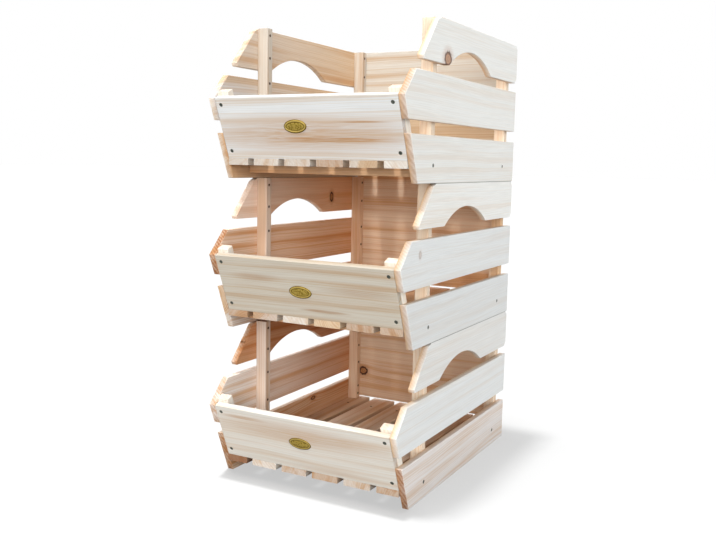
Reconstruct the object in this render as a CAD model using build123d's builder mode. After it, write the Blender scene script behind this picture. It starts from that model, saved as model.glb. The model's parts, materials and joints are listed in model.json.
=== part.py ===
"""Stacking potato bin: three open-front crates of planed softwood, one on top of the other.

Millimetres. X runs across the bin, +Y to its back, +Z up. The origin is on the floor, in the
middle of the bin's footprint. A crate is modelled once, on the floor, and then placed three
times. Positions along the depth are often given as a distance behind the nose, which is the
foremost point of the side walls.
"""
from build123d import *
from math import cos, radians, sin, tan
import os

# Crate envelope
crate_width = 380.0
crate_depth = 528.0
crate_names = ["bottom", "middle", "top"]

# Boards of the side walls, from the floor up, and the air gaps between them
board_thickness = 12.0
side_board_width = 80.0
lower_gap = 22.0
upper_gap = 18.0
upper_board_width = 75.0

# Outline of the side walls' front ends
nose_rise = 37.0            # height of the nose above the middle board's lower edge
panel_lean = 22.0           # degrees that the front leans out below the nose
nose_chamfer = 43.0         # degrees that the middle board leans back above the nose
upper_setback = 60.0        # lower front corner of the upper board, behind the nose
upper_rake = 41.0           # degrees that the upper board's front end leans back
upper_clip = 8.0            # small clipped corners of the upper board's top edge

# Arched hand hole in the lower edge of the upper board
arch_span = 205.0
arch_rise = 32.0
arch_from_rear = 150.0      # rear end of the arch, ahead of the side wall's rear end

# Upright posts inside the side walls, and the battens behind the front panel
post_width = 22.0
post_depth = 16.0
front_post_setback = 130.0  # front face of the front posts, behind the nose
batten_width = 22.0
batten_thickness = 16.0
batten_proud = 7.0          # how far the battens stand above the front panel's top edge

# Floor: two bearers across the crate, and slats from front to back on them
bearer_clearance = 10.0     # bearers' underside above the crate's underside
bearer_height = 14.0
bearer_depth = 24.0
front_bearer_inset = 62.5   # front face of the front bearer, behind the slats' front ends
rear_bearer_inset = 54.0    # rear face of the rear bearer, ahead of the slats' rear ends
slat_count = 6
slat_thickness = 12.0
slat_width = 52.0           # the two outer slats are ripped narrower to fill the floor
slat_spacing = 12.5         # air gap between slats

# Front panel and back wall
panel_thickness = 12.0
panel_foot_gap = 0.5        # front panel above the slats
back_board_thickness = 12.0
back_foot_gap = 5.0         # back wall above the slats
back_end_inset = 5.0        # back boards' ends, inside the side walls
lower_back_board_width = 116.0
back_seam = 0.2
back_strip_width = 24.0     # strip that tops the back wall of the crates named below
back_strip_rise = 3.0       # its top edge above the posts, under the next crate's floor
back_strip_crates = ["middle"]

# Countersunk wood screws, 3.5 x 25. They pass through a clearance hole in the board that they
# hold, and bite into the batten or slat behind it, which isn't drilled.
screw_length = 25.0
screw_shank_diameter = 3.5
screw_head_diameter = 7.5
screw_head_angle = 90.0
screw_clearance = 0.05
panel_screw_inset = 13.0    # from the front panel's long edges

fit = 0.5                   # side play of what is fitted between the side walls

# Levels of one crate
lower_top = side_board_width
middle_foot = lower_top + lower_gap
middle_top = middle_foot + side_board_width
upper_foot = middle_top + upper_gap
crate_height = upper_foot + upper_board_width
slat_foot = bearer_clearance + bearer_height
slat_top = slat_foot + slat_thickness
back_foot = slat_top + back_foot_gap

# Places along the depth and across the width
rear_y = crate_depth / 2
nose_y = rear_y - crate_depth
nose_z = middle_foot + nose_rise
inner_half = crate_width / 2 - board_thickness
floor_half = inner_half - fit
back_face_y = rear_y - back_board_thickness
back_board_half = inner_half - back_end_inset

# The front panel's face leans out to the nose
lean = radians(panel_lean)
into_the_panel = Vector(0, cos(lean), sin(lean))
panel_height = (nose_z - slat_top - panel_foot_gap) / cos(lean)


def front_y(z):
    """Where the leaning front of the crate is at height z, below the nose."""
    return nose_y + (nose_z - z) * tan(lean)


slat_front_y = front_y(slat_top)
front_bearer_y = slat_front_y + front_bearer_inset
rear_bearer_y = rear_y - rear_bearer_inset - bearer_depth


def side_plane(x):
    """Upright plane at x, in which a sketch's x runs to the back and its y up."""
    return Plane(origin=(x, 0, 0), x_dir=(0, 1, 0), z_dir=(1, 0, 0))


def panel_plane(depth=0.0):
    """Plane of the front panel, at a depth behind its face, with its origin at the nose."""
    nose = Vector(0, nose_y, nose_z)
    return Plane(nose + into_the_panel * depth, x_dir=(1, 0, 0), z_dir=-into_the_panel)


def wall_x(side):
    """Lower x of the side wall's boards on one side."""
    return -crate_width / 2 if side == "left" else inner_half


def inside_x(side, width):
    """Lower x of a piece of that width against the inner face of a side wall."""
    return -inner_half if side == "left" else inner_half - width


def side_screw_seats(side):
    """Planes of the screws that hold a lower side board to the edge of the outer slat."""
    outwards = -1 if side == "left" else 1
    x = outwards * crate_width / 2
    z = slat_foot + slat_thickness / 2
    return [Plane((x, y + bearer_depth / 2, z), x_dir=(0, 1, 0), z_dir=(outwards, 0, 0))
            for y in (front_bearer_y, rear_bearer_y)]


def panel_screw_seats(side):
    """Planes of the two screws that hold one end of the front panel to its batten."""
    x = inside_x(side, batten_width) + batten_width / 2
    plane = panel_plane()
    low, high = panel_screw_inset - panel_height, -panel_screw_inset
    return [Plane(plane.from_local_coords((x, v, 0)), x_dir=plane.x_dir, z_dir=plane.z_dir)
            for v in (low, high)]


def sink_screws(seats):
    """Cuts each screw's clearance hole and countersink into the board being made."""
    with Locations(*seats):
        CounterSinkHole(
            screw_shank_diameter / 2 + screw_clearance,
            screw_head_diameter / 2 + screw_clearance,
            counter_sink_angle=screw_head_angle,
        )


def lower_side_board(side):
    """Bottom board of a side wall. The crate stands on its lower edge."""
    with BuildPart() as board:
        with BuildSketch(side_plane(wall_x(side))):
            with BuildLine():
                Polyline(
                    (front_y(0), 0), (rear_y, 0), (rear_y, lower_top),
                    (front_y(lower_top), lower_top), close=True,
                )
            make_face()
        extrude(amount=board_thickness)
        sink_screws(side_screw_seats(side))
    return board


def middle_side_board(side):
    """Board with the nose: it leans out below the nose and is chamfered back above it."""
    chamfer_back = (middle_top - nose_z) * tan(radians(nose_chamfer))
    with BuildPart() as board:
        with BuildSketch(side_plane(wall_x(side))):
            with BuildLine():
                Polyline(
                    (front_y(middle_foot), middle_foot), (rear_y, middle_foot),
                    (rear_y, middle_top), (nose_y + chamfer_back, middle_top),
                    (nose_y, nose_z), close=True,
                )
            make_face()
        extrude(amount=board_thickness)
    return board


def upper_side_board(side):
    """Raked board with clipped top corners and the arched hand hole in its lower edge."""
    low_front_y = nose_y + upper_setback
    top_front_y = low_front_y + upper_board_width * tan(radians(upper_rake))
    arch_rear_y = rear_y - arch_from_rear
    arch_front_y = arch_rear_y - arch_span
    arch_middle_y = arch_rear_y - arch_span / 2
    with BuildPart() as board:
        with BuildSketch(side_plane(wall_x(side))) as outline:
            with BuildLine():
                Polyline(
                    (low_front_y, upper_foot), (rear_y, upper_foot), (rear_y, crate_height),
                    (top_front_y, crate_height), close=True,
                )
            make_face()
            chamfer(outline.vertices().group_by(Axis.Z)[-1], upper_clip)
            with BuildLine():
                ThreePointArc(
                    (arch_front_y, upper_foot), (arch_middle_y, upper_foot + arch_rise),
                    (arch_rear_y, upper_foot),
                )
                Line((arch_rear_y, upper_foot), (arch_front_y, upper_foot))
            make_face(mode=Mode.SUBTRACT)
        extrude(amount=board_thickness)
    return board


def post(side, front):
    """Upright post on the slats, up to the crate's top, with its front face at a given y."""
    x = inside_x(side, post_width)
    with BuildPart() as upright:
        with BuildSketch(Plane((x, front, slat_top))):
            Rectangle(post_width, post_depth, align=(Align.MIN, Align.MIN))
        extrude(amount=crate_height - slat_top)
    return upright


def panel_batten(side):
    """Leaning batten behind one end of the front panel. Its foot is cut level, on the slats."""
    x = inside_x(side, batten_width)
    length = panel_height + batten_thickness
    with BuildPart() as batten:
        with BuildSketch(panel_plane(panel_thickness)):
            with Locations((x, batten_proud)):
                Rectangle(batten_width, length + batten_proud, align=(Align.MIN, Align.MAX))
        extrude(amount=-batten_thickness)
        split(bisect_by=Plane.XY.offset(slat_top), keep=Keep.TOP)
    return batten


def front_panel():
    """Wide leaning board between the side walls, flush with their front ends."""
    with BuildPart() as panel:
        with BuildSketch(panel_plane()):
            Rectangle(2 * floor_half, panel_height, align=(Align.CENTER, Align.MAX))
        extrude(amount=-panel_thickness)
        sink_screws(panel_screw_seats("left") + panel_screw_seats("right"))
    return panel


def bearer(front):
    """Batten across the crate under the slats, with its front face at a given y."""
    with BuildPart() as beam:
        with BuildSketch(Plane((0, front, bearer_clearance))):
            Rectangle(2 * floor_half, bearer_depth, align=(Align.CENTER, Align.MIN))
        extrude(amount=bearer_height)
    return beam


def floor_slats():
    """Slats from the foot of the front panel to the rear end, with air gaps between them."""
    inner_span = (slat_count - 2) * slat_width + (slat_count - 1) * slat_spacing
    outer_width = floor_half - inner_span / 2
    length = rear_y - slat_front_y
    pitch = slat_width + slat_spacing
    with BuildPart() as slats:
        with BuildSketch(Plane.XY.offset(slat_foot)):
            with Locations((0, slat_front_y + length / 2)):
                with GridLocations(pitch, 0, slat_count - 2, 1):
                    Rectangle(slat_width, length)
            with Locations((-floor_half, slat_front_y)):
                Rectangle(outer_width, length, align=(Align.MIN, Align.MIN))
            with Locations((floor_half, slat_front_y)):
                Rectangle(outer_width, length, align=(Align.MAX, Align.MIN))
        extrude(amount=slat_thickness)
    return slats


def back_board(foot, top):
    """Board of the back wall between two heights, on the rear faces of the rear posts."""
    with BuildPart() as board:
        with BuildSketch(Plane((0, back_face_y, foot))):
            Rectangle(2 * back_board_half, back_board_thickness,
                      align=(Align.CENTER, Align.MIN))
        extrude(amount=top - foot)
    return board


def screws():
    """All screws of a crate, heads flush with the boards that they hold."""
    head_radius = screw_head_diameter / 2
    shank_radius = screw_shank_diameter / 2
    head_height = (head_radius - shank_radius) / tan(radians(screw_head_angle / 2))
    with BuildPart() as screw:
        with BuildSketch(Plane.XZ):
            with BuildLine():
                Polyline(
                    (0, 0), (head_radius, 0), (shank_radius, -head_height),
                    (shank_radius, -screw_length), (0, -screw_length), close=True,
                )
            make_face()
        revolve(axis=Axis.Z)
    with BuildPart() as all_screws:
        for side in ("left", "right"):
            with Locations(*side_screw_seats(side), *panel_screw_seats(side)):
                add(screw.part)
    return all_screws


def crate_pieces(name):
    """The pieces of one crate, modelled on the floor, by their names."""
    pieces = {
        "front_panel": front_panel(),
        "floor_slats": floor_slats(),
        "front_bearer": bearer(front_bearer_y),
        "rear_bearer": bearer(rear_bearer_y),
        "screws": screws(),
    }
    for side in ("left", "right"):
        pieces[side + "_lower_board"] = lower_side_board(side)
        pieces[side + "_middle_board"] = middle_side_board(side)
        pieces[side + "_upper_board"] = upper_side_board(side)
        pieces[side + "_front_post"] = post(side, nose_y + front_post_setback)
        pieces[side + "_rear_post"] = post(side, back_face_y - post_depth)
        pieces[side + "_panel_batten"] = panel_batten(side)
    seam = back_foot + lower_back_board_width
    top = crate_height
    if name in back_strip_crates:
        top -= back_strip_width
        strip_top = crate_height + back_strip_rise
        pieces["back_top_strip"] = back_board(top + back_seam, strip_top)
    pieces["lower_back_board"] = back_board(back_foot, seam)
    pieces["upper_back_board"] = back_board(seam + back_seam, top)
    return pieces


os.makedirs("parts", exist_ok=True)
for level, crate in enumerate(crate_names):
    for node, piece in crate_pieces(crate).items():
        placed = piece.part.moved(Pos(0, 0, level * crate_height))
        placed.label = crate + "_" + node
        export_step(placed, "parts/" + placed.label + ".step")
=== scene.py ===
"""Stacking potato bin: planed pine boards, battens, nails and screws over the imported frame."""
import json
import math
import random

import bmesh
import bpy
import numpy as np
from mathutils import Matrix, Vector


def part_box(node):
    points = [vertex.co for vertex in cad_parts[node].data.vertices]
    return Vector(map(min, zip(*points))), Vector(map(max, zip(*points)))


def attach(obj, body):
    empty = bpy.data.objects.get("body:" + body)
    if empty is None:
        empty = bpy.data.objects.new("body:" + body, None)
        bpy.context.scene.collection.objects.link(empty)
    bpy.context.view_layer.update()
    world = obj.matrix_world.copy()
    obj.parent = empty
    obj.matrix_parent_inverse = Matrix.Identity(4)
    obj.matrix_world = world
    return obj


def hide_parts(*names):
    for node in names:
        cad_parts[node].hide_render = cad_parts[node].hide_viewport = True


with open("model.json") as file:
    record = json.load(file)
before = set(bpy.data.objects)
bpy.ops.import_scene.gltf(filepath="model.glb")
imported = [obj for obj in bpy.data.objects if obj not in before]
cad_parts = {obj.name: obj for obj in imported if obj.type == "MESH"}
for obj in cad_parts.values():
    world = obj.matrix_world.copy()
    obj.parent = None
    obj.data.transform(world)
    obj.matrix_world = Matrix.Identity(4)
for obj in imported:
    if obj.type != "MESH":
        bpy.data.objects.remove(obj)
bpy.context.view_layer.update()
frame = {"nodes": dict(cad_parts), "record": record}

CRATES = ("bottom", "middle", "top")
# A crate's sizes, from the boards and posts of the bottom one
wall_low, wall_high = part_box("bottom_right_upper_board")
post_low, post_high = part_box("bottom_right_front_post")
CRATE_WIDTH, CRATE_DEPTH, CRATE_HEIGHT = 2 * wall_high.x, 2 * wall_high.y, wall_high.z
INSIDE_WIDTH, WALL = 2 * wall_low.x, wall_high.x - wall_low.x
INSIDE_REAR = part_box("bottom_lower_back_board")[0].y
POST_FACE, POST_MIDDLE = post_low.x, (post_low.x + post_high.x) / 2
X, Y, Z = Vector((1, 0, 0)), Vector((0, 1, 0)), Vector((0, 0, 1))

# The front panel leans out to the nose of the side walls
LEAN = math.radians(22)
NOSE = Vector((0, -CRATE_DEPTH / 2, 0.139))
UP_PANEL = Vector((0, -math.sin(LEAN), math.cos(LEAN)))
INTO_PANEL = Vector((0, math.cos(LEAN), math.sin(LEAN)))

# How each kind of board lies: along its grain, and square to its wide face
LIE = {
    "back_board": (X, Y), "back_top_strip": (X, Y), "lower_board": (Y, X),
    "middle_board": (Y, X), "upper_board": (Y, X), "post": (Z, X),
    "panel_batten": (UP_PANEL, X), "front_panel": (X, INTO_PANEL), "bearer": (X, Y),
    "floor_slats": (Y, Z),
}

WELD = 1e-6                 # points nearer than this are one
EASE = 0.0009               # sandpapered edges of the boards
SHORT_EDGE = 0.006          # edges shorter than this, such as an arch's facets, stay as cut
FLAT, SMOOTH, SHARP = (math.radians(a) for a in (1, 18, 20))    # angles between faces
HAIRLINE = {                # how far boards are let down to close a gap that shows light
    "front_panel": 0.0010, "back_top_strip": 0.0008, "upper_back_board": 0.0008,
}
END_GRAIN_SLOPE = 0.6       # faces that look along the grain by more than this are end grain
YEAR = 0.0036               # spacing of the year rings
GRAIN_WANDER = 0.012        # how far the grain wanders from side to side, at most
KNOT_BULGE = 0.012          # how far the year rings bulge at a knot
HEART_EDGE = 0.004          # how far the heartwood fades on either side of its edge
PLANER_STEP = 0.0025        # spacing of the ripple that the planer leaves


# ---------------------------------------------------------------- node helpers

def linear(hex_colour):
    """An sRGB colour such as #E8D9C0, as linear red, green, blue and alpha."""
    parts = [int(hex_colour[i:i + 2], 16) / 255 for i in (1, 3, 5)]
    return tuple(c / 12.92 if c <= 0.04045 else ((c + 0.055) / 1.055) ** 2.4
                 for c in parts) + (1.0,)


def add(tree, kind, inputs=None, stops=(), **settings):
    """Adds a node, with its settings, and its inputs set to values or linked to outputs.

    stops are a colour ramp's: (place, grey level) or (place, hex colour).
    """
    made = tree.nodes.new(kind)
    for name, value in settings.items():
        setattr(made, name, value)
    for number, (place, colour) in enumerate(stops):
        elements = made.color_ramp.elements
        element = elements[number] if number < len(elements) else elements.new(place)
        element.position = place
        element.color = linear(colour) if isinstance(colour, str) else (colour,) * 3 + (1,)
    for key, value in (inputs or {}).items():
        if isinstance(value, bpy.types.NodeSocket):
            tree.links.new(value, made.inputs[key])
        else:
            made.inputs[key].default_value = value
    return made


def start_material(name):
    """A material with a Principled shader, and its node tree."""
    material = bpy.data.materials.new(name)
    material.use_nodes = True
    tree = material.node_tree
    return material, tree, tree.nodes["Principled BSDF"]


# ---------------------------------------------------------------- wood

# Attributes for the marks on a board: one knot, and streaks of resin
MARKS = ("knot", "streak_1", "streak_2", "streak_3")


def board_marks(tree, log):
    """How far off each mark of a board is, in its own radii, and how strong it is."""
    grit = add(tree, "ShaderNodeTexNoise", {"Vector": log, "Scale": 220.0, "Detail": 2.0})
    grit = add(tree, "ShaderNodeMath", {0: grit.outputs[0], 1: 0.5, 2: -0.25},
               operation="MULTIPLY_ADD").outputs[0]
    marks = []
    for name in MARKS:
        mark = add(tree, "ShaderNodeAttribute", attribute_name=name).outputs["Vector"]
        mark = add(tree, "ShaderNodeSeparateXYZ", {0: mark}).outputs
        flat = add(tree, "ShaderNodeCombineXYZ", {0: mark[0], 1: mark[1]}).outputs[0]
        away = add(tree, "ShaderNodeVectorMath", {0: flat}, operation="LENGTH").outputs["Value"]
        if name == "knot":      # its edge is ragged
            away = add(tree, "ShaderNodeMath", {0: away, 1: grit}, operation="ADD").outputs[0]
        marks.append((away, mark[2]))
    return marks


def pith_distance(tree, place, away, is_knot):
    """How far the wood is from the pith, as the rings show it: they bulge round a knot."""
    flow = add(tree, "ShaderNodeMath", {0: away, 1: -0.55}, operation="MULTIPLY").outputs[0]
    flow = add(tree, "ShaderNodeMath", {0: flow}, operation="EXPONENT").outputs[0]
    flow = add(tree, "ShaderNodeMath", {0: flow, 1: is_knot}, operation="MULTIPLY").outputs[0]
    across = add(tree, "ShaderNodeVectorMath", {0: place, 1: (0.0, 1.0, 1.0)},
                 operation="MULTIPLY").outputs[0]
    radius = add(tree, "ShaderNodeVectorMath", {0: across}, operation="LENGTH").outputs["Value"]
    return add(tree, "ShaderNodeMath", {0: flow, 1: KNOT_BULGE, 2: radius},
               operation="MULTIPLY_ADD").outputs[0]


def year_rings(tree, radius, contrast):
    """Years counted from the pith, of uneven width, and the latewood that ends each of them:
    soft on its early side and sharp on its late side."""
    years = add(tree, "ShaderNodeMath", {0: radius, 1: 1 / YEAR},
                operation="MULTIPLY").outputs[0]
    uneven = add(tree, "ShaderNodeTexNoise", {"W": years, "Scale": 0.23, "Detail": 3.0},
                 noise_dimensions="1D").outputs[0]
    years = add(tree, "ShaderNodeMath", {0: uneven, 1: 4.0, 2: years},
                operation="MULTIPLY_ADD").outputs[0]
    year = add(tree, "ShaderNodeMath", {0: years}, operation="FRACT").outputs[0]
    late = add(tree, "ShaderNodeValToRGB", {0: year}, stops=(
        (0.0, 0.25), (0.12, 0.0), (0.55, 0.1), (0.88, 1.0), (1.0, 0.3))).outputs[0]
    strong = add(tree, "ShaderNodeTexNoise", {"W": years, "Scale": 0.31, "Detail": 1.0},
                 noise_dimensions="1D").outputs[0]
    strong = add(tree, "ShaderNodeMapRange", {0: strong, 1: 0.35, 2: 0.65, 3: 0.25, 4: 1.0})
    late = add(tree, "ShaderNodeMath", {0: late, 1: strong.outputs[0]},
               operation="MULTIPLY").outputs[0]
    late = add(tree, "ShaderNodeMath", {0: late, 1: contrast}, operation="MULTIPLY").outputs[0]
    return years, late


def tan_bands(tree, place, years, contrast):
    """Runs of good and lean years, 15 mm or so, leave broad tan bands beside pale ones."""
    runs = add(tree, "ShaderNodeTexNoise", {"W": years, "Scale": 0.19, "Detail": 4.0,
                                            "Roughness": 0.6}, noise_dimensions="1D").outputs[0]
    lengthwise = add(tree, "ShaderNodeVectorMath", {0: place, 1: (2.2, 60.0, 60.0)},
                     operation="MULTIPLY").outputs[0]
    lengthwise = add(tree, "ShaderNodeTexNoise", {"Vector": lengthwise, "Scale": 1.0,
                                                  "Detail": 4.0}).outputs[0]
    bands = add(tree, "ShaderNodeMath", {0: lengthwise, 1: runs}, operation="ADD").outputs[0]
    bands = add(tree, "ShaderNodeMapRange", {0: bands, 1: 0.92, 2: 1.28},
                interpolation_type="SMOOTHSTEP").outputs[0]
    return add(tree, "ShaderNodeMath", {0: bands, 1: contrast}, operation="MULTIPLY").outputs[0]


def resin_streaks(tree, wood, streaks, fibre):
    """Lays streaks of resin over the wood, broken up along its fibres."""
    threads = add(tree, "ShaderNodeMapRange", {0: fibre, 1: 0.35, 2: 0.6, 3: 0.45, 4: 1.0})
    for distance, strength in streaks:
        streak = add(tree, "ShaderNodeMapRange", {0: distance, 1: 1.1, 2: 0.2},
                     interpolation_type="SMOOTHSTEP").outputs[0]
        streak = add(tree, "ShaderNodeMath", {0: streak, 1: strength},
                     operation="MULTIPLY").outputs[0]
        streak = add(tree, "ShaderNodeMath", {0: streak, 1: threads.outputs[0]},
                     operation="MULTIPLY").outputs[0]
        wood = add(tree, "ShaderNodeMix", {0: streak, 6: wood, 7: linear("#C08B52")},
                   data_type="RGBA").outputs[2]
    return wood


def knotted(tree, wood, away, is_knot):
    """Sets the knot in the wood: brown rings inside a dark line of bark, and resin around it."""
    rings = add(tree, "ShaderNodeMath", {0: away, 1: 17.0}, operation="MULTIPLY").outputs[0]
    rings = add(tree, "ShaderNodeMath", {0: rings}, operation="SINE").outputs[0]
    rings = add(tree, "ShaderNodeMapRange", {0: rings, 1: -1.0, 2: 1.0}).outputs[0]
    branch = add(tree, "ShaderNodeMix", {0: rings, 6: linear("#8E5A36"), 7: linear("#B57E50")},
                 data_type="RGBA").outputs[2]
    off_bark = add(tree, "ShaderNodeMath", {0: away, 1: 0.85}, operation="SUBTRACT").outputs[0]
    off_bark = add(tree, "ShaderNodeMath", {0: off_bark}, operation="ABSOLUTE").outputs[0]
    # Each layer: what it goes by, where that starts and is full, how strong, and its colour
    for distance, start, full, strength, colour in (
        (away, 2.1, 0.9, 0.45, linear("#B4784E")),
        (away, 1.0, 0.8, 1.0, branch),
        (off_bark, 0.30, 0.05, 1.0, linear("#3A231A")),
    ):
        layer = add(tree, "ShaderNodeMapRange", {0: distance, 1: start, 2: full, 4: strength},
                    interpolation_type="SMOOTHSTEP").outputs[0]
        layer = add(tree, "ShaderNodeMath", {0: layer, 1: is_knot},
                    operation="MULTIPLY").outputs[0]
        wood = add(tree, "ShaderNodeMix", {0: layer, 6: wood, 7: colour},
                   data_type="RGBA").outputs[2]
    return wood


def pine_figure():
    """Solid figure of a pine log: year rings round the pith, heartwood, bands and fibres.

    It reads these attributes of the mesh. "log" is the place in the log in metres, along the
    grain and across it from the pith. "knot" and "streak_1" to "streak_3" are the place round the
    board's knot and resin streaks in their own radii, and their strength. "board" is the
    heartwood's radius, the contrast of the figure and how brown the ends are. "stain_and_shade"
    is the board's tone, with painted shade on the crates' inner faces and in their seams.
    """
    tree = bpy.data.node_groups.new("pine_figure", "ShaderNodeTree")
    for name, kind in (("Colour", "NodeSocketColor"), ("Latewood", "NodeSocketFloat"),
                       ("Fibre", "NodeSocketFloat"), ("Brown End", "NodeSocketFloat")):
        tree.interface.new_socket(name, in_out="OUTPUT", socket_type=kind)
    log = add(tree, "ShaderNodeAttribute", attribute_name="log").outputs["Vector"]
    board = add(tree, "ShaderNodeAttribute", attribute_name="board").outputs["Vector"]
    heart_radius, contrast, brown = add(tree, "ShaderNodeSeparateXYZ", {0: board}).outputs
    stain_and_shade = add(tree, "ShaderNodeAttribute", attribute_name="stain_and_shade").outputs["Color"]

    # The grain wanders by some millimetres over a hand's breadth
    slow = add(tree, "ShaderNodeVectorMath", {0: log, 1: (3.0, 9.0, 9.0)},
               operation="MULTIPLY").outputs[0]
    wander = add(tree, "ShaderNodeTexNoise", {"Vector": slow, "Scale": 1.0, "Detail": 3.0})
    wander = add(tree, "ShaderNodeVectorMath", {0: wander.outputs["Color"], 1: (0.5, 0.5, 0.5)},
                 operation="SUBTRACT").outputs[0]
    wander = add(tree, "ShaderNodeVectorMath", {0: wander, 1: (0.0, GRAIN_WANDER, GRAIN_WANDER)},
                 operation="MULTIPLY").outputs[0]
    place = add(tree, "ShaderNodeVectorMath", {0: log, 1: wander}, operation="ADD").outputs[0]

    (away, is_knot), *streaks = board_marks(tree, log)
    radius = pith_distance(tree, place, away, is_knot)
    years, late = year_rings(tree, radius, contrast)
    bands = tan_bands(tree, place, years, contrast)

    # Heartwood inside the board's own radius, ending along a year ring
    inner = add(tree, "ShaderNodeMath", {0: heart_radius, 1: radius},
                operation="SUBTRACT").outputs[0]
    heart = add(tree, "ShaderNodeMapRange", {0: inner, 1: -HEART_EDGE, 2: HEART_EDGE},
                interpolation_type="SMOOTHSTEP").outputs[0]

    # Fibres 1.4 mm wide, coarser than real ones so that they show
    fine = add(tree, "ShaderNodeVectorMath", {0: place, 1: (12.0, 700.0, 700.0)},
               operation="MULTIPLY").outputs[0]
    fibre = add(tree, "ShaderNodeTexNoise",
                {"Vector": fine, "Scale": 1.0, "Detail": 3.0}).outputs[0]

    sap = add(tree, "ShaderNodeMix", {0: late, 6: linear("#F1EEE9"), 7: linear("#DCBE9A")},
              data_type="RGBA").outputs[2]
    core = add(tree, "ShaderNodeMix", {0: late, 6: linear("#E7D0B4"), 7: linear("#BD8A60")},
               data_type="RGBA").outputs[2]
    wood = add(tree, "ShaderNodeMix", {0: heart, 6: sap, 7: core}, data_type="RGBA").outputs[2]
    wood = add(tree, "ShaderNodeMix", {0: bands, 6: wood, 7: linear("#D8B48C")},
               data_type="RGBA").outputs[2]
    wood = resin_streaks(tree, wood, streaks, fibre)
    thread = add(tree, "ShaderNodeMapRange", {0: fibre, 1: 0.3, 2: 0.7, 3: 0.93, 4: 1.03})
    wood = add(tree, "ShaderNodeVectorMath", {0: wood, "Scale": thread.outputs[0]},
               operation="SCALE").outputs[0]
    # The board's tone, which holds painted shade on some boards
    wood = add(tree, "ShaderNodeVectorMath", {0: wood, 1: stain_and_shade}, operation="MULTIPLY").outputs[0]
    wood = knotted(tree, wood, away, is_knot)
    add(tree, "NodeGroupOutput", {0: wood, 1: late, 2: fibre, 3: brown})
    return tree


def planed_pine(figure):
    """Softwood planed and left bare: dull silk sheen, late rings that stand a little proud, and
    the planer's faint ripple across the grain."""
    material, tree, shader = start_material("planed_pine")
    wood = add(tree, "ShaderNodeGroup", node_tree=figure).outputs
    log = add(tree, "ShaderNodeAttribute", attribute_name="log").outputs["Vector"]
    along = add(tree, "ShaderNodeSeparateXYZ", {0: log}).outputs[0]
    ripple = add(tree, "ShaderNodeMath", {0: along, 1: 2 * math.pi / PLANER_STEP},
                 operation="MULTIPLY").outputs[0]
    ripple = add(tree, "ShaderNodeMath", {0: ripple}, operation="SINE").outputs[0]
    relief = add(tree, "ShaderNodeMath", {0: wood["Fibre"], 1: 0.8, 2: wood["Latewood"]},
                 operation="MULTIPLY_ADD").outputs[0]
    relief = add(tree, "ShaderNodeMath", {0: ripple, 1: 0.06, 2: relief},
                 operation="MULTIPLY_ADD").outputs[0]
    bump = add(tree, "ShaderNodeBump", {"Height": relief, "Strength": 0.35, "Distance": 0.00025})
    gloss = add(tree, "ShaderNodeMapRange", {0: wood["Latewood"], 3: 0.66, 4: 0.5}).outputs[0]
    for socket, value in (("Base Color", wood["Colour"]), ("Roughness", gloss),
                          ("Normal", bump.outputs[0])):
        tree.links.new(value, shader.inputs[socket])
    shader.inputs["Specular IOR Level"].default_value = 0.3
    return material


def sawn_end_grain(figure):
    """Ends cut by a circular saw: darker, thirsty end grain, with the blade's slanting marks
    6 mm apart, coarser than real ones so that they show."""
    material, tree, shader = start_material("sawn_end_grain")
    wood = add(tree, "ShaderNodeGroup", node_tree=figure).outputs
    place = add(tree, "ShaderNodeTexCoord").outputs["Object"]
    blade = add(tree, "ShaderNodeTexWave", {"Vector": place, "Scale": 75.0, "Distortion": 2.5,
                                            "Detail": 3.0, "Detail Scale": 1.5},
                bands_direction="DIAGONAL").outputs["Fac"]
    pores = add(tree, "ShaderNodeTexNoise", {"Vector": place, "Scale": 900.0, "Detail": 2.0})
    cloud = add(tree, "ShaderNodeTexNoise", {"Vector": place, "Scale": 60.0, "Detail": 3.0})
    marks = add(tree, "ShaderNodeMath", {0: blade, 1: 0.35, 2: cloud.outputs[0]},
                operation="MULTIPLY_ADD").outputs[0]
    marks = add(tree, "ShaderNodeMapRange", {0: marks, 1: 0.4, 2: 0.95, 3: 0.45, 4: 1.0})
    dark = add(tree, "ShaderNodeMath", {0: wood["Brown End"], 1: marks.outputs[0]},
               operation="MULTIPLY").outputs[0]
    colour = add(tree, "ShaderNodeMix", {0: dark, 6: wood["Colour"], 7: linear("#8F5F3C")},
                 data_type="RGBA").outputs[2]
    height = add(tree, "ShaderNodeMath", {0: pores.outputs[0], 1: 0.7, 2: blade},
                 operation="MULTIPLY_ADD").outputs[0]
    bump = add(tree, "ShaderNodeBump", {"Height": height, "Strength": 0.5, "Distance": 0.0003})
    tree.links.new(colour, shader.inputs["Base Color"])
    tree.links.new(bump.outputs[0], shader.inputs["Normal"])
    shader.inputs["Roughness"].default_value = 0.85
    shader.inputs["Specular IOR Level"].default_value = 0.15
    return material


def tarnished_zinc():
    """Zinc-plated screws gone dull and greenish grey, with brighter worn specks."""
    material, tree, shader = start_material("tarnished_zinc")
    place = add(tree, "ShaderNodeTexCoord").outputs["Object"]
    cloud = add(tree, "ShaderNodeTexNoise", {"Vector": place, "Scale": 900.0, "Detail": 3.0})
    colour = add(tree, "ShaderNodeValToRGB", {0: cloud.outputs[0]}, stops=(
        (0.35, "#3F4440"), (0.55, "#6A6E66"), (0.75, "#9B9D94")))
    rough = add(tree, "ShaderNodeMapRange", {0: cloud.outputs[0], 3: 0.6, 4: 0.35}).outputs[0]
    tree.links.new(colour.outputs[0], shader.inputs["Base Color"])
    tree.links.new(rough, shader.inputs["Roughness"])
    shader.inputs["Metallic"].default_value = 0.9
    return material


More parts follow.
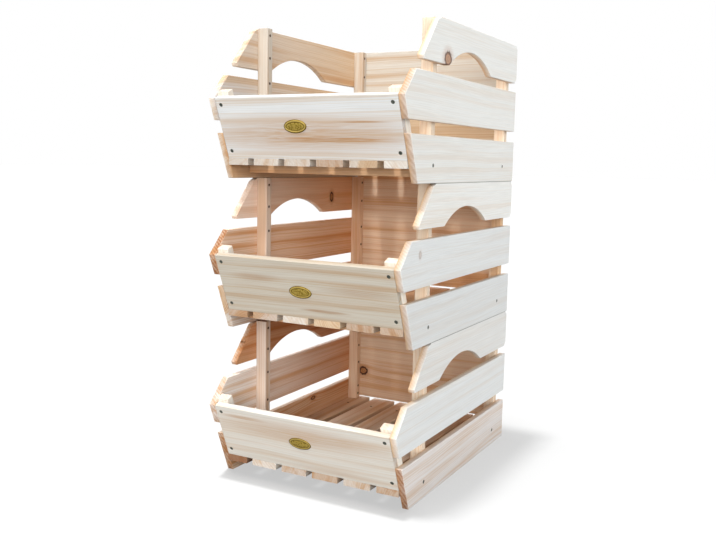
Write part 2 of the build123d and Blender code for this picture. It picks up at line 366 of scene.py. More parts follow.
def scaled_nail_steel():
    """Wire nails with dark scale on their heads, and a little rust."""
    material, tree, shader = start_material("scaled_nail_steel")
    place = add(tree, "ShaderNodeTexCoord").outputs["Object"]
    cloud = add(tree, "ShaderNodeTexNoise", {"Vector": place, "Scale": 700.0, "Detail": 3.0})
    colour = add(tree, "ShaderNodeValToRGB", {0: cloud.outputs[0]}, stops=(
        (0.4, "#2A1A14"), (0.55, "#46301F"), (0.7, "#64483A")))
    tree.links.new(colour.outputs[0], shader.inputs["Base Color"])
    shader.inputs["Metallic"].default_value = 0.3
    shader.inputs["Roughness"].default_value = 0.6
    return material


def stamped_gilt_plate():
    """Thin gilt tinplate: hammered field, polished ring, antiqued groove, painted shade on its
    edge.
    """
    material, tree, shader = start_material("stamped_gilt_plate")
    place = add(tree, "ShaderNodeTexCoord").outputs["Object"]
    # Hammer marks 3 mm apart
    dents = add(tree, "ShaderNodeTexVoronoi", {"Vector": place, "Scale": 330.0}).outputs[0]
    polish = add(tree, "ShaderNodeAttribute", attribute_name="polish").outputs["Fac"]
    field = add(tree, "ShaderNodeValToRGB", {0: dents}, stops=(
        (0.1, "#6E5818"), (0.35, "#A58A36"), (0.6, "#C6AC54"))).outputs[0]
    # Dark low bands: painted shade on the plate's outer edge, antique patina in the inner groove
    edge_shade_and_patina = add(tree, "ShaderNodeMapRange", {0: polish, 2: 0.5}).outputs[0]
    ring = add(tree, "ShaderNodeMapRange", {0: polish, 1: 0.5}).outputs[0]
    colour = add(tree, "ShaderNodeMix", {0: edge_shade_and_patina, 6: linear("#6A5420"), 7: field},
                 data_type="RGBA").outputs[2]
    colour = add(tree, "ShaderNodeMix", {0: ring, 6: colour, 7: linear("#D2B866")},
                 data_type="RGBA").outputs[2]
    bump = add(tree, "ShaderNodeBump", {"Height": dents, "Strength": 0.5, "Distance": 0.0003})
    tree.links.new(colour, shader.inputs["Base Color"])
    tree.links.new(bump.outputs[0], shader.inputs["Normal"])
    shader.inputs["Metallic"].default_value = 0.85
    shader.inputs["Roughness"].default_value = 0.42
    return material


figure = pine_figure()
PINE = planed_pine(figure)
END_GRAIN = sawn_end_grain(figure)
ZINC = tarnished_zinc()
NAIL_STEEL = scaled_nail_steel()
GILT = stamped_gilt_plate()


# ---------------------------------------------------------------- boards

# Knots and resin streaks: place along the grain and across it from the board's middle, half
# sizes both ways, in metres, and strength from 0 to 1
KNOTS = {
    "bottom_lower_back_board": (-0.147, 0.002, 0.011, 0.010, 1.0),
    "middle_left_upper_board": (0.113, 0.0055, 0.007, 0.011, 1.0),
    "top_right_upper_board": (-0.131, 0.028, 0.0155, 0.013, 0.75),
    "middle_right_middle_board": (-0.190, -0.016, 0.005, 0.007, 0.25),
    "bottom_left_lower_board": (0.068, -0.032, 0.009, 0.004, 1.0),
    "bottom_left_upper_board": (-0.209, -0.003, 0.007, 0.004, 1.0),
}
STREAKS = {
    "top_front_panel": ((0.050, -0.0205, 0.150, 0.0075, 1.0),
                        (0.105, 0.0100, 0.062, 0.0025, 0.9),
                        (-0.010, -0.0120, 0.290, 0.0460, 0.65)),
    "middle_front_panel": ((-0.100, 0.0180, 0.070, 0.0100, 0.5),
                           (0.030, -0.0380, 0.060, 0.0040, 0.9),
                           (0.110, 0.0060, 0.090, 0.0120, 0.4)),
    "bottom_front_panel": ((-0.120, 0.0380, 0.060, 0.0050, 0.6),
                           (0.000, 0.0220, 0.230, 0.0280, 0.5),
                           (0.060, -0.0450, 0.120, 0.0080, 0.3)),
}
NO_MARK = (9.0, 9.0, 1.0, 1.0, 0.0)

# How boards were sawn, for those where it shows: the pith's place across the board and off its
# face, and the heartwood's radius
SAWN = {
    "top_front_panel": (-0.120, 0.040, 0.040),
    "middle_front_panel": (-0.150, 0.045, 0.040),
    "bottom_front_panel": (-0.140, 0.050, 0.040),
    "middle_right_upper_board": (-0.140, 0.045, 0.020),
    "bottom_right_lower_board": (0.055, 0.022, 0.010),
    "bottom_right_panel_batten": (0.100, 0.045, 0.020),
    "middle_right_panel_batten": (0.110, -0.045, 0.020),
    "top_right_panel_batten": (-0.100, 0.045, 0.020),
}

# The darkest stain of the left and back walls' outer faces, which are paler than their inner ones,
# whose darker stains are painted shade
OUTSIDE = "#F6F1EA"
# How much warmer and darker the right-hand boards are on their inner faces: painted shade and warm
# bounce light inside the crates
INSIDE_SHADE = "#EFCDA6"
# Painted shade: what is left of the wood's brightness on the sandpapered edges in the seams
# between the crates
SEAM_SHADE = 0.25
# Tone of the boards whose names hold all the words of a row, the first row that fits: stain at
# the crate's front and rear ends, contrast of the figure, and how brown the ends are. Besides the
# wood's own tone, the stains hold painted light: the darker, warmer stains of the left and back
# walls and of the parts inside the crates are painted shade and warm bounce light, and the pale,
# cool stains of the right-hand boards are partly painted cool light. The slats' front ends have
# their own stains below.
TONES = (
    (("top", "front_panel"), "#E9F0F8", "#E9F0F8", 0.5, 0.2),
    (("middle", "front_panel"), "#CAC7BF", "#CAC7BF", 0.7, 0.2),
    (("bottom", "front_panel"), "#E2E2E0", "#E2E2E0", 0.5, 0.2),
    (("top", "right_middle_board"), "#FCFCFC", "#FCFCFC", 0.2, 1.0),
    (("bottom", "right_lower"), "#F6F0F0", "#F6F0F0", 0.6, 2.0),
    (("right", "post"), "#F8E9D8", "#F8E9D8", 0.5, 0.2),
    (("batten",), "#FCF8F2", "#FCF8F2", 0.4, 0.2),
    (("middle", "right_lower"), "#EEF0F3", "#EEF0F3", 0.2, 0.25),
    (("middle", "right_middle"), "#F2F4F7", "#F2F4F7", 0.2, 0.25),
    (("bottom", "right_upper"), "#F1F1F2", "#F1F1F2", 0.2, 0.5),
    (("right",), "#FCFCFC", "#FCFCFC", 0.2, 0.35),
    (("top", "left_lower"), "#DDB58C", "#E6DCD0", 0.5, 0.05),
    (("top", "left_upper"), "#E2D8D0", "#E6CCAE", 0.8, 0.05),
    (("top", "left", "board"), "#D8D5D6", "#E6DCD0", 0.5, 0.05),
    (("top", "back_board"), "#D4D2CE", "#D4D2CE", 0.7, 0.2),
    (("bottom", "left_middle"), "#FCFBFC", "#EAB087", 0.8, 1.1),
    (("bottom", "left_upper"), "#CD9C74", "#DDA07D", 1.15, 0.9),
    (("bottom", "left_lower"), "#E2C8B2", "#E8B890", 1.15, 1.0),
    (("middle", "left_upper"), "#FCECE4", "#FFCA9C", 0.5, 0.2),
    (("middle", "left_lower"), "#E8E6E6", "#FACAA4", 1.15, 0.2),
    (("middle", "left_middle"), "#F2D8C6", "#FFD2AE", 1.15, 1.4),
    (("middle", "back"), "#FFE6CF", "#FFE6CF", 0.8, 0.3),
    (("back",), "#F6DCC4", "#F6DCC4", 0.8, 0.3),
    (("top", "post"), "#D5CEC6", "#D5CEC6", 0.7, 0.2),
    (("front_post",), "#E2D4CB", "#E2D4CB", 0.7, 0.2),
    (("post",), "#FCE0C6", "#FCE0C6", 0.6, 0.2),
    (("bearer",), "#E6BE98", "#E6BE98", 0.6, 0.3),
    (("top", "slats"), "#F2E8DE", "#F2E8DE", 0.5, 0.15),
    (("slats",), "#FBDABC", "#FBDABC", 0.7, 0.18),
)
# The stain at the front end of each slat, from the left: they were cut from several boards, and
# the stains are also darkened as painted shade under the front panel's lower edge
BROWN, TAN, GREY, PALE = "#7A5C4C", "#B2A498", "#C6C2BE", "#DCE0E0"
SLAT_ENDS = {
    "bottom_floor_slats": (BROWN, PALE, GREY, TAN, GREY, TAN),
    "middle_floor_slats": (TAN, GREY, PALE, PALE, TAN, TAN),
    "top_floor_slats": (GREY, GREY, GREY, TAN, GREY, PALE),
}


def lie_of(node):
    """The directions along the grain, across the wide face and square to it."""
    for kind, (along, square) in LIE.items():
        if node.endswith(kind):
            return along, along.cross(square), square


def stain_of(node, points, front, rear):
    """Stain and painted shade at each point, from the stains at the crate's front and rear ends.
    """
    tone = front + (rear - front) * (points[:, 1:2] / CRATE_DEPTH + 0.5).clip(0, 1)
    inner, outer = tone, tone
    if "right" in node and "board" in node:
        # Painted shade and warm bounce light on the inner faces of the right-hand boards
        inner = tone * linear(INSIDE_SHADE)[:3]
    elif "board" in node or "back" in node:
        # The left and back walls' inner faces keep their darker stains, which are painted shade;
        # their outer faces are made no darker than OUTSIDE
        outer = np.maximum(tone, linear(OUTSIDE)[:3])
    # 0 on a wall's inner face, 1 on its outer face
    outwards = (points[:, 1:2] - INSIDE_REAR if "back" in node
                else abs(points[:, :1]) - INSIDE_WIDTH / 2) / WALL
    tone = inner + (outer - inner) * outwards.clip(0, 1)
    if node.endswith(("upper_board", "lower_board")):
        # Painted shade darkens the sandpapered edges where one crate stands on another
        seam = (points[:, 2:] / CRATE_HEIGHT).round().clip(1, len(CRATES) - 1) * CRATE_HEIGHT
        off = abs(points[:, 2:] - seam)
        tone = np.where((off > 0.1 * EASE) & (off < 0.5 * EASE), SEAM_SHADE * tone, tone)
    return tone


def lay_grain(mesh, node, middles):
    """Gives each board in a mesh its own place in a log, its knot, streaks and tone.

    middles are the boards' middles. A vertex belongs to the board whose middle line is nearest.
    """
    along, across, square = (np.array(v) for v in lie_of(node))
    points = np.array([v.co for v in mesh.vertices])
    middles = np.array(middles)
    apart = np.abs((points[:, None, :] - middles[None]) @ across)
    owner = apart.argmin(axis=1)
    front, rear, contrast, brown = next(row[1:] for row in TONES
                                        if all(word in node for word in row[0]))
    fronts = SLAT_ENDS.get(node, (front,))
    rear = np.array(linear(rear)[:3])
    marks = (KNOTS.get(node, NO_MARK),) + STREAKS.get(node, (NO_MARK,) * (len(MARKS) - 1))
    values = {name: np.zeros((len(points), 3)) for name in ("log", "board", "stain_and_shade") + MARKS}
    for number, middle in enumerate(middles):
        rng = random.Random(node + str(number))
        own = owner == number
        u, v, w = ((points[own] - middle) @ a for a in (along, across, square))
        # The pith lies beside the board on either side, and the log was cut a little askew
        pith_v, pith_w, heart = SAWN.get(node, (
            rng.choice((-1, 1)) * rng.uniform(0.03, 0.15),
            rng.choice((-1, 1)) * rng.uniform(0.02, 0.06),
            rng.uniform(0.02, 0.10),
        ))
        slant_v, slant_w = rng.uniform(-0.02, 0.02), rng.uniform(-0.02, 0.02)
        values["log"][own] = np.stack([u + rng.uniform(0, 9), v - pith_v - slant_v * u,
                                       w - pith_w - slant_w * u], axis=1)
        for name, (u0, v0, half_u, half_v, strength) in zip(MARKS, marks):
            values[name][own] = np.stack([(u - u0) / half_u, (v - v0) / half_v,
                                          np.full(len(u), strength)], axis=1)
        values["board"][own] = (heart, contrast * rng.uniform(0.8, 1.2),
                                brown * rng.uniform(0.1, 1.9))
        front = np.array(linear(fronts[number])[:3])
        values["stain_and_shade"][own] = stain_of(node, points[own], front, rear) * rng.uniform(0.93, 1.0)
    for name, vectors in values.items():
        layer = mesh.attributes.new(name, "FLOAT_VECTOR", "POINT")
        layer.data.foreach_set("vector", vectors.astype(np.float32).ravel())
    mesh.materials.clear()
    mesh.materials.append(PINE)
    mesh.materials.append(END_GRAIN)
    for face in mesh.polygons:
        face.material_index = int(abs(np.dot(face.normal, along)) > END_GRAIN_SLOPE)


def eased_copy(node):
    """Copy of a CAD board with its flat faces whole and its long edges sandpapered."""
    bm = bmesh.new()
    bm.from_mesh(frame["nodes"][node].data)
    bmesh.ops.remove_doubles(bm, verts=bm.verts, dist=WELD)
    bmesh.ops.dissolve_limit(bm, angle_limit=FLAT, verts=bm.verts, edges=bm.edges)
    sharp = [e for e in bm.edges if e.is_manifold and e.calc_length() > SHORT_EDGE
             and e.calc_face_angle() > SHARP]
    bmesh.ops.bevel(bm, geom=sharp, offset=EASE, segments=2, profile=0.5, affect="EDGES",
                    clamp_overlap=True)
    for edge in bm.edges:
        edge.smooth = not edge.is_manifold or edge.calc_face_angle() < SMOOTH
    for face in bm.faces:
        face.smooth = True
    for kind, drop in HAIRLINE.items():
        if node.endswith(kind):
            up = lie_of(node)[1] if lie_of(node)[1].z > 0 else -lie_of(node)[1]
            foot = min(v.co.dot(up) for v in bm.verts)
            for vert in bm.verts:
                if vert.co.dot(up) < foot + 2 * EASE:
                    vert.co -= up * drop
    mesh = bpy.data.meshes.new("planed_" + node)
    bm.to_mesh(mesh)
    bm.free()
    return mesh


def place_piece(mesh, body, slot, *nodes):
    """Makes a mesh a finished piece: it rides on a body, and stands for CAD nodes."""
    piece = bpy.data.objects.new(mesh.name, mesh)
    bpy.context.scene.collection.objects.link(piece)
    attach(piece, body)
    if nodes:
        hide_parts(*nodes)


# ---------------------------------------------------------------- repeated pieces

def repeat_tree(name, sizes):
    """An empty Geometry Nodes tree with named sizes, in metres, and a material."""
    tree = bpy.data.node_groups.new(name, "GeometryNodeTree")
    tree.interface.new_socket("Geometry", in_out="INPUT", socket_type="NodeSocketGeometry")
    for size in sizes:
        tree.interface.new_socket(size, in_out="INPUT", socket_type="NodeSocketFloat")
    tree.interface.new_socket("Material", in_out="INPUT", socket_type="NodeSocketMaterial")
    tree.interface.new_socket("Geometry", in_out="OUTPUT", socket_type="NodeSocketGeometry")
    return tree, add(tree, "NodeGroupInput").outputs


def set_at_seats(tree, given, part, spin=0.0):
    """Ends a tree: the part stands at each point, along its "seat" attribute and stretched by
    its "stretch", turned at random round itself by up to spin, and becomes real geometry with
    its material."""
    seat = add(tree, "GeometryNodeInputNamedAttribute", {"Name": "seat"},
               data_type="FLOAT_VECTOR").outputs[0]
    turn = add(tree, "FunctionNodeAlignRotationToVector", {"Vector": seat}, axis="Z").outputs[0]
    chance = add(tree, "FunctionNodeRandomValue", {"Max": (0.0, 0.0, spin), "Seed": 7},
                 data_type="FLOAT_VECTOR").outputs[0]
    twist = add(tree, "FunctionNodeEulerToRotation", {0: chance}).outputs[0]
    turn = add(tree, "FunctionNodeRotateRotation", {0: turn, 1: twist}, rotation_space="LOCAL")
    scale = add(tree, "GeometryNodeInputNamedAttribute", {"Name": "stretch"},
                data_type="FLOAT_VECTOR").outputs[0]
    spots = add(tree, "GeometryNodeInstanceOnPoints",
                {"Points": given["Geometry"], "Instance": part,
                 "Rotation": turn.outputs[0], "Scale": scale}).outputs[0]
    real = add(tree, "GeometryNodeRealizeInstances", {0: spots}).outputs[0]
    done = add(tree, "GeometryNodeSetMaterial", {"Geometry": real, "Material": given["Material"]})
    add(tree, "NodeGroupOutput", {0: done.outputs[0]})
    return tree


def screw_head(tree, given):
    """Countersunk head with a cross recess, down from its face."""
    head = add(tree, "GeometryNodeMeshCone",
               {"Vertices": 32, "Radius Top": given["Head Radius"],
                "Radius Bottom": given["Shank Radius"], "Depth": given["Head Height"]}).outputs[0]
    sunk = add(tree, "ShaderNodeMath", {0: given["Head Height"], 1: -1.0},
               operation="MULTIPLY").outputs[0]
    sunk = add(tree, "ShaderNodeCombineXYZ", {2: sunk}).outputs[0]
    head = add(tree, "GeometryNodeTransform", {"Geometry": head, "Translation": sunk}).outputs[0]
    long_way = add(tree, "ShaderNodeMath", {0: given["Head Radius"], 1: 1.15},
                   operation="MULTIPLY").outputs[0]
    bars = []
    for size in ((long_way, given["Recess Width"]), (given["Recess Width"], long_way)):
        box = add(tree, "ShaderNodeCombineXYZ", {0: size[0], 1: size[1], 2: given["Head Height"]})
        bars.append(add(tree, "GeometryNodeMeshCube", {"Size": box.outputs[0]}).outputs[0])
    head = add(tree, "GeometryNodeMeshBoolean", {0: head}, operation="DIFFERENCE", solver="EXACT")
    for bar in bars:
        tree.links.new(bar, head.inputs["Mesh 2"])
    return head.outputs[0]


def threaded_shank(tree, given):
    """Thread of a screw, and its core, which tapers down to a point."""
    body_length = add(tree, "ShaderNodeMath", {0: given["Length"], 1: given["Head Height"]},
                      operation="SUBTRACT").outputs[0]
    down = add(tree, "ShaderNodeMath", {0: given["Length"], 1: -1.0},
               operation="MULTIPLY").outputs[0]
    tip = add(tree, "ShaderNodeMath", {0: given["Shank Radius"], 1: 0.25},
              operation="MULTIPLY").outputs[0]
    core = add(tree, "ShaderNodeMath", {0: given["Shank Radius"], 1: 0.72},
               operation="MULTIPLY").outputs[0]
    shank = add(tree, "GeometryNodeMeshCone",
                {"Vertices": 16, "Radius Top": core, "Radius Bottom": tip,
                 "Depth": body_length}).outputs[0]
    down_vector = add(tree, "ShaderNodeCombineXYZ", {2: down}).outputs[0]
    shank = add(tree, "GeometryNodeTransform",
                {"Geometry": shank, "Translation": down_vector}).outputs[0]
    turns = add(tree, "ShaderNodeMath", {0: body_length, 1: given["Thread Pitch"]},
                operation="DIVIDE").outputs[0]
    helix = add(tree, "GeometryNodeCurveSpiral",
                {"Resolution": 12, "Rotations": turns, "Start Radius": tip,
                 "End Radius": core, "Height": body_length}).outputs[0]
    ridge = add(tree, "ShaderNodeMath", {0: given["Shank Radius"], 1: 0.28},
                operation="MULTIPLY").outputs[0]
    ridge = add(tree, "GeometryNodeCurvePrimitiveCircle",
                {"Resolution": 3, "Radius": ridge}).outputs[0]
    thread = add(tree, "GeometryNodeCurveToMesh",
                 {0: helix, 1: ridge, "Fill Caps": True}).outputs[0]
    thread = add(tree, "GeometryNodeTransform",
                 {"Geometry": thread, "Translation": down_vector}).outputs[0]
    return thread, shank


def screw_tree():
    """Countersunk screw with a cross recess, a thread and a point, down from its head's face."""
    tree, given = repeat_tree("crate_screw", ("Head Radius", "Head Height", "Shank Radius",
                                              "Length", "Recess Width", "Thread Pitch"))
    whole = add(tree, "GeometryNodeJoinGeometry")
    for part in (*threaded_shank(tree, given), screw_head(tree, given)):
        tree.links.new(part, whole.inputs[0])
    return set_at_seats(tree, given, whole.outputs[0], spin=math.tau)


def nail_tree():
    """Wire nail: a flat round head just proud of the wood, and its shank."""
    tree, given = repeat_tree("crate_nail", ("Head Radius", "Head Height", "Shank Radius",
                                             "Length", "Proud"))
    head = add(tree, "GeometryNodeMeshCylinder",
               {"Vertices": 14, "Radius": given["Head Radius"],
                "Depth": given["Head Height"]}).outputs[0]
    rise = add(tree, "ShaderNodeMath", {0: given["Head Height"], 1: -0.5, 2: given["Proud"]},
               operation="MULTIPLY_ADD").outputs[0]
    rise = add(tree, "ShaderNodeCombineXYZ", {2: rise}).outputs[0]
    head = add(tree, "GeometryNodeTransform", {"Geometry": head, "Translation": rise}).outputs[0]
    shank = add(tree, "GeometryNodeMeshCylinder",
                {"Vertices": 8, "Radius": given["Shank Radius"],
                 "Depth": given["Length"]}).outputs[0]
    sink = add(tree, "ShaderNodeMath", {0: given["Length"], 1: -0.5},
               operation="MULTIPLY").outputs[0]
    sink = add(tree, "ShaderNodeCombineXYZ", {2: sink}).outputs[0]
    shank = add(tree, "GeometryNodeTransform", {"Geometry": shank, "Translation": sink}).outputs[0]
    whole = add(tree, "GeometryNodeJoinGeometry")
    for part in (shank, head):
        tree.links.new(part, whole.inputs[0])
    return set_at_seats(tree, given, whole.outputs[0], spin=math.tau)


def slat_tree():
    """Floor slat: a bar with eased long edges and square sawn ends, centred on its seat."""
    tree, given = repeat_tree("floor_slat", ("Width", "Thickness", "Length", "Ease"))
    section = add(tree, "GeometryNodeCurvePrimitiveQuadrilateral",
                  {"Width": given["Width"], "Height": given["Thickness"]}).outputs[0]
    section = add(tree, "GeometryNodeFilletCurve",
                  {"Curve": section, "Radius": given["Ease"], "Count": 2}, mode="POLY")
    ends = []
    for half in (-0.5, 0.5):
        end = add(tree, "ShaderNodeMath", {0: given["Length"], 1: half},
                  operation="MULTIPLY").outputs[0]
        ends.append(add(tree, "ShaderNodeCombineXYZ", {1: end}).outputs[0])
    line = add(tree, "GeometryNodeCurvePrimitiveLine", {"Start": ends[0], "End": ends[1]})
    bar = add(tree, "GeometryNodeCurveToMesh",
              {0: line.outputs[0], 1: section.outputs[0], "Fill Caps": True}).outputs[0]
    return set_at_seats(tree, given, bar)


def repeated(name, tree, sizes, material, seats):
    """Runs a tree over seats, each (place, direction) or (place, direction, stretch), and
    returns the result as a plain mesh."""
    mesh = bpy.data.meshes.new(name)
    mesh.from_pydata([tuple(seat[0]) for seat in seats], [], [])
    for label, values in (("seat", [seat[1] for seat in seats]),
                          ("stretch", [(seat + ((1, 1, 1),))[2] for seat in seats])):
        layer = mesh.attributes.new(label, "FLOAT_VECTOR", "POINT")
        layer.data.foreach_set("vector", [c for value in values for c in value])
    maker = bpy.data.objects.new(name, mesh)
    bpy.context.scene.collection.objects.link(maker)
    modifier = maker.modifiers.new("repeat", "NODES")
    modifier.node_group = tree
    sockets = {item.name: item.identifier for item in tree.interface.items_tree
               if item.in_out == "INPUT"}
    for label, value in sizes.items():
        modifier[sockets[label]] = value
    modifier[sockets["Material"]] = material
    ready = maker.evaluated_get(bpy.context.evaluated_depsgraph_get())
    result = bpy.data.meshes.new_from_object(ready)
    bpy.data.objects.remove(maker)
    bpy.data.meshes.remove(mesh)
    result.name = name
    return result


def panel_point(x, up, depth=0.0):
    """Point on the bottom crate's front panel: up along it from the nose, and into it."""
    return NOSE + X * x + UP_PANEL * up + INTO_PANEL * depth


def gilt_plate(name, x, up, turn, level):
    """Plain oval plate on the front panel, with a polished ring between two grooves."""
    half_wide, half_high, around = 0.0225, 0.012, 64
    bm = bmesh.new()
    polish = bm.verts.layers.float.new("polish")
    loops = []
    # How far in from the edge, how high and how bright; the dark outer bands are painted shade
    for inset, height, band_brightness in (
        (0.0, 0.0, 0.1), (0.0, 0.0006, 0.1), (0.0013, 0.0007, 0.1), (0.0018, 0.0012, 1.0),
        (0.0035, 0.0012, 1.0), (0.0040, 0.0007, 0.1), (0.0050, 0.0007, 0.1),
        (0.0056, 0.0009, 0.5),
    ):
        loop = []
        for step in range(around):
            angle = math.tau * step / around
            wide = math.cos(angle) * (half_wide - inset)
            high = math.sin(angle) * (half_high - inset)
            vert = bm.verts.new(panel_point(
                x + wide * math.cos(turn) - high * math.sin(turn),
                up + wide * math.sin(turn) + high * math.cos(turn), -height) + Z * level)
            vert[polish] = band_brightness
            loop.append(vert)
        loops.append(loop)
    for outer, inner in zip(loops, loops[1:]):
        for step in range(around):
            after = (step + 1) % around
            bm.faces.new((outer[step], outer[after], inner[after], inner[step]))
    bm.faces.new(loops[-1])
    bm.faces.new(reversed(loops[0]))
    bmesh.ops.recalc_face_normals(bm, faces=bm.faces)
    for face in bm.faces:
        face.smooth = True
    mesh = bpy.data.meshes.new(name)
    bm.to_mesh(mesh)
    bm.free()
    mesh.materials.append(GILT)
    return mesh


# ---------------------------------------------------------------- the crates

SCREWS, NAILS, SLATS = screw_tree(), nail_tree(), slat_tree()
SCREW_SIZES = {"Head Radius": 0.0036, "Head Height": 0.0018, "Shank Radius": 0.00175,
               "Length": 0.0245, "Recess Width": 0.0009, "Thread Pitch": 0.0014}
NAIL_SIZES = {"Head Radius": 0.0026, "Head Height": 0.0005, "Shank Radius": 0.0009,
              "Length": 0.024, "Proud": 0.0002}
SLAT_WIDTH, OUTER_SLAT_WIDTH, SLAT_SPACING = 0.052, 0.04225, 0.0645
SLATS_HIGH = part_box("bottom_floor_slats")[1]
OUTER_SLAT = SLATS_HIGH.x - OUTER_SLAT_WIDTH / 2
SLAT_MIDDLES = (-OUTER_SLAT, *(SLAT_SPACING * n for n in (-1.5, -0.5, 0.5, 1.5)), OUTER_SLAT)
BEARERS = (-0.1479, 0.198)          # the bearers' middles, front to rear
SUNK = 0.0004                       # how far the screws' heads lie below the wood
SIDE_SCREWS = 0.030                 # how high the screws in the lower side boards are
PANEL_SCREWS = (-0.013, -0.0975)    # how far up the front panel its screws are, from the nose
# Nails through the front and rear posts into the side boards: how far back, and how high
POST_NAILS = ((-0.126, (0.262, 0.221, 0.175, 0.120, 0.066, 0.048)),
              (0.244, (0.262, 0.221, 0.162, 0.122, 0.066, 0.048)))
BACK_NAILS = (0.070, 0.130, 0.180, 0.245)   # how high the nails in the back wall are
# Each plate's place across and up the panel, and how far it was put on out of true
PLATES = {"bottom": (-0.0055, -0.051, 0.0), "middle": (-0.010, -0.059, 0.0),
          "top": (-0.0225, -0.052, 0.05)}


def screw_seats(level):
    """Screws of a crate: through the lower side boards, and through the panel's ends."""
    seats = []
    for side in (-1, 1):
        for y in BEARERS:
            place = Vector((side * (CRATE_WIDTH / 2 - SUNK), y, level + SIDE_SCREWS))
            seats.append((place, X * side))
        for up in PANEL_SCREWS:
            seats.append((panel_point(side * POST_MIDDLE, up, SUNK) + Z * level, -INTO_PANEL))
    return seats


def nail_seats(level):
    """Nails of a crate: through the posts into the side boards, through the back wall into the
    rear posts, and through the slats into the bearers."""
    seats = []
    for side in (-1, 1):
        for y, heights in POST_NAILS:
            for z in heights:
                seats.append((Vector((side * POST_FACE, y, level + z)), X * -side))
        for z in BACK_NAILS:
            seats.append((Vector((side * POST_MIDDLE, CRATE_DEPTH / 2, level + z)), Y))
    for x in SLAT_MIDDLES:
        for y in BEARERS:
            seats.append((Vector((x, y, level + SLATS_HIGH.z)), Z))
    return seats


def dress_boards(body):
    """Makes a crate's boards, posts, battens and bearers."""
    for node in frame["record"]["behaviour"]["bodies"][body]:
        if node.endswith(("screws", "floor_slats")):
            continue
        mesh = eased_copy(node)
        low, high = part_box(node)
        lay_grain(mesh, node, [(low + high) / 2])
        thin = node.endswith(("post", "batten", "bearer"))
        place_piece(mesh, body, "pine_battens" if thin else "pine_boards", node)


def dress_slats(node, body):
    """Makes a crate's floor of slats, of which the outer two are narrower."""
    low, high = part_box(node)
    middles = [Vector((x, (low.y + high.y) / 2, (low.z + high.z) / 2)) for x in SLAT_MIDDLES]
    seats = [(middle, Z) for middle in middles]
    for end in (0, -1):
        seats[end] += ((OUTER_SLAT_WIDTH / SLAT_WIDTH, 1, 1),)
    sizes = {"Width": SLAT_WIDTH, "Thickness": high.z - low.z, "Length": high.y - low.y,
             "Ease": EASE}
    mesh = repeated("planed_" + node, SLATS, sizes, PINE, seats)
    lay_grain(mesh, node, middles)
    place_piece(mesh, body, "pine_boards", node)


for number, crate in enumerate(CRATES):
    body, level = crate + "_crate", number * CRATE_HEIGHT
    dress_boards(body)
    dress_slats(crate + "_floor_slats", body)
    mesh = repeated(crate + "_threaded_screws", SCREWS, SCREW_SIZES, ZINC, screw_seats(level))
    place_piece(mesh, body, "screw_zinc", crate + "_screws")
    mesh = repeated(crate + "_nails", NAILS, NAIL_SIZES, NAIL_STEEL, nail_seats(level))
    place_piece(mesh, body, "screw_zinc")
    place_piece(gilt_plate(crate + "_oval_plate", *PLATES[crate], level), body, "badge_gilt")


# ---------------------------------------------------------------- studio

def white_world():
    """A backdrop that is pure white to the camera and in reflections, and lights softly."""
    world = bpy.data.worlds.new("white_studio")
    world.use_nodes = True
    tree = world.node_tree
    sky = tree.nodes["Background"]
    sky.inputs["Color"].default_value = (1.0, 1.0, 1.0, 1)
    sky.inputs["Strength"].default_value = 0.2
    white = add(tree, "ShaderNodeBackground", {"Color": (1, 1, 1, 1), "Strength": 1.0})
    path = add(tree, "ShaderNodeLightPath").outputs
    seen = add(tree, "ShaderNodeMath", {0: path["Is Camera Ray"], 1: path["Is Glossy Ray"]},
               operation="MAXIMUM").outputs[0]
    seen = add(tree, "ShaderNodeMath", {0: seen, 1: path["Is Transmission Ray"]},
               operation="MAXIMUM").outputs[0]
    mixed = add(tree, "ShaderNodeMixShader", {0: seen, 1: sky.outputs[0], 2: white.outputs[0]})
    tree.links.new(mixed.outputs[0], tree.nodes["World Output"].inputs[0])
    bpy.context.scene.world = world


def paper_floor():
    """White paper, which takes the shadow and throws little light back. Only the camera sees
    its own glow."""
    bm = bmesh.new()
    bmesh.ops.create_grid(bm, x_segments=1, y_segments=1, size=40)
    mesh = bpy.data.meshes.new("studio_floor")
    bm.to_mesh(mesh)
    bm.free()
    paper = bpy.data.materials.new("white_paper")
    paper.use_nodes = True
    tree = paper.node_tree
    matt = add(tree, "ShaderNodeBsdfDiffuse", {"Color": (0.2, 0.2, 0.2, 1)})
    lift = add(tree, "ShaderNodeEmission", {"Color": (0.995, 1.0, 1.0, 1), "Strength": 0.54})
    path = add(tree, "ShaderNodeLightPath").outputs
    dark = add(tree, "ShaderNodeEmission", {"Strength": 0.0})
    shown = add(tree, "ShaderNodeMixShader", {0: path["Is Camera Ray"], 1: dark.outputs[0],
                                              2: lift.outputs[0]})
    both = add(tree, "ShaderNodeAddShader", {0: matt.outputs[0], 1: shown.outputs[0]})
    tree.links.new(both.outputs[0], tree.nodes["Material Output"].inputs[0])
    mesh.materials.append(paper)
    floor = bpy.data.objects.new("studio_floor", mesh)
    bpy.context.scene.collection.objects.link(floor)
    return floor


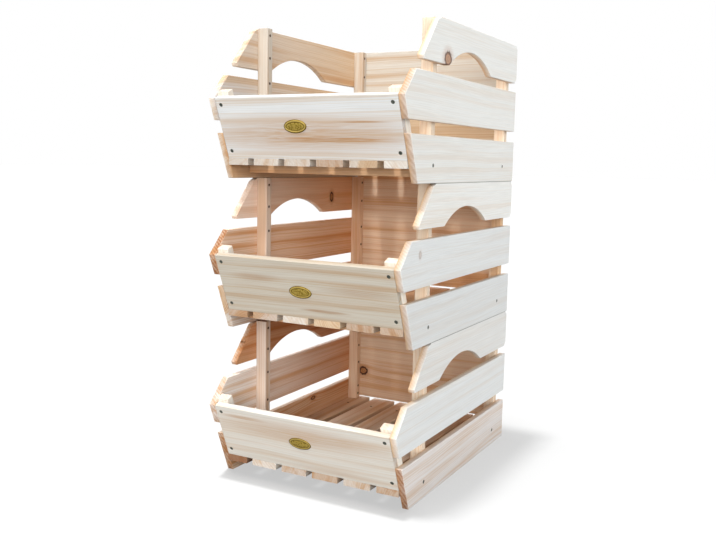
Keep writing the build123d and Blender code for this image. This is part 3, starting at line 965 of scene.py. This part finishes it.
def sun_lamps(floor):
    """A key light above the front and wide fills. The floor has lamps of its own, high on the
    left, so that it shows one soft shadow."""
    linked = {}
    for group, state in (("lit_by_floor_lamps", "INCLUDE"), ("not_lit_by_others", "EXCLUDE")):
        linked[state] = bpy.data.collections.new(group)
        linked[state].objects.link(floor)
        linked[state].collection_objects[0].light_linking.link_state = state
    # Each lamp: the way it shines, its width in degrees, its strength and its colour
    for name, towards, spread, power, colour, state in (
        ("floor_light", (0.105, 0.07, -1.0), 5, 4.2, (1.0, 1.0, 1.0), "INCLUDE"),
        ("wide_floor_light", (0.12, 0.12, -1.0), 25, 3.2, (1.0, 1.0, 1.0), "INCLUDE"),
        ("overhead_light", (0.1, 0.08, -1.0), 10, 1.5, (1.0, 1.0, 1.0), "EXCLUDE"),
        ("key_light", (0.03, 0.62, -1.0), 9, 2.0, (1.0, 0.98, 0.95), "EXCLUDE"),
        ("front_fill", (0.0, 1.0, -0.2), 60, 1.4, (1.0, 0.97, 0.93), "EXCLUDE"),
        ("front_right_fill", (-0.55, 0.8, -0.1), 60, 2.9, (1.0, 0.97, 0.93), "EXCLUDE"),
        ("right_fill", (-1.0, 0.15, -0.25), 60, 1.5, (0.76, 0.9, 1.0), "EXCLUDE"),
        ("rear_left_fill", (0.6, -0.8, -0.2), 60, 2.3, (1.0, 0.97, 0.93), "EXCLUDE"),
    ):
        light = bpy.data.lights.new(name, "SUN")
        light.angle, light.energy, light.color = math.radians(spread), power, colour
        lamp = bpy.data.objects.new(name, light)
        lamp.rotation_euler = Vector(towards).to_track_quat("-Z", "Y").to_euler()
        bpy.context.scene.collection.objects.link(lamp)
        lamp.light_linking.receiver_collection = linked[state]


def camera():
    """Camera a little above the stack's middle, in front and to its right."""
    yaw, pitch, roll = (math.radians(a) for a in (28.535, 7.170, 1.136))
    frame_width, focal_length = 716, 858.79     # in pixels
    place = Matrix.Translation((0.77343, -1.47699, 0.58341))
    forward = Vector((-math.sin(yaw) * math.cos(pitch), math.cos(yaw) * math.cos(pitch),
                      -math.sin(pitch)))
    right = Vector((math.cos(yaw), math.sin(yaw), 0))
    up = right.cross(forward)
    tilted = (math.cos(roll) * right + math.sin(roll) * up,
              -math.sin(roll) * right + math.cos(roll) * up, -forward)
    data = bpy.data.cameras.new("studio_camera")
    data.sensor_width = 36
    data.lens = focal_length / frame_width * data.sensor_width
    eye = bpy.data.objects.new("studio_camera", data)
    eye.matrix_world = place @ Matrix(tilted).transposed().to_4x4()
    bpy.context.scene.collection.objects.link(eye)
    bpy.context.scene.camera = eye


white_world()
sun_lamps(paper_floor())
camera()
bpy.context.scene.view_settings.view_transform = "Standard"
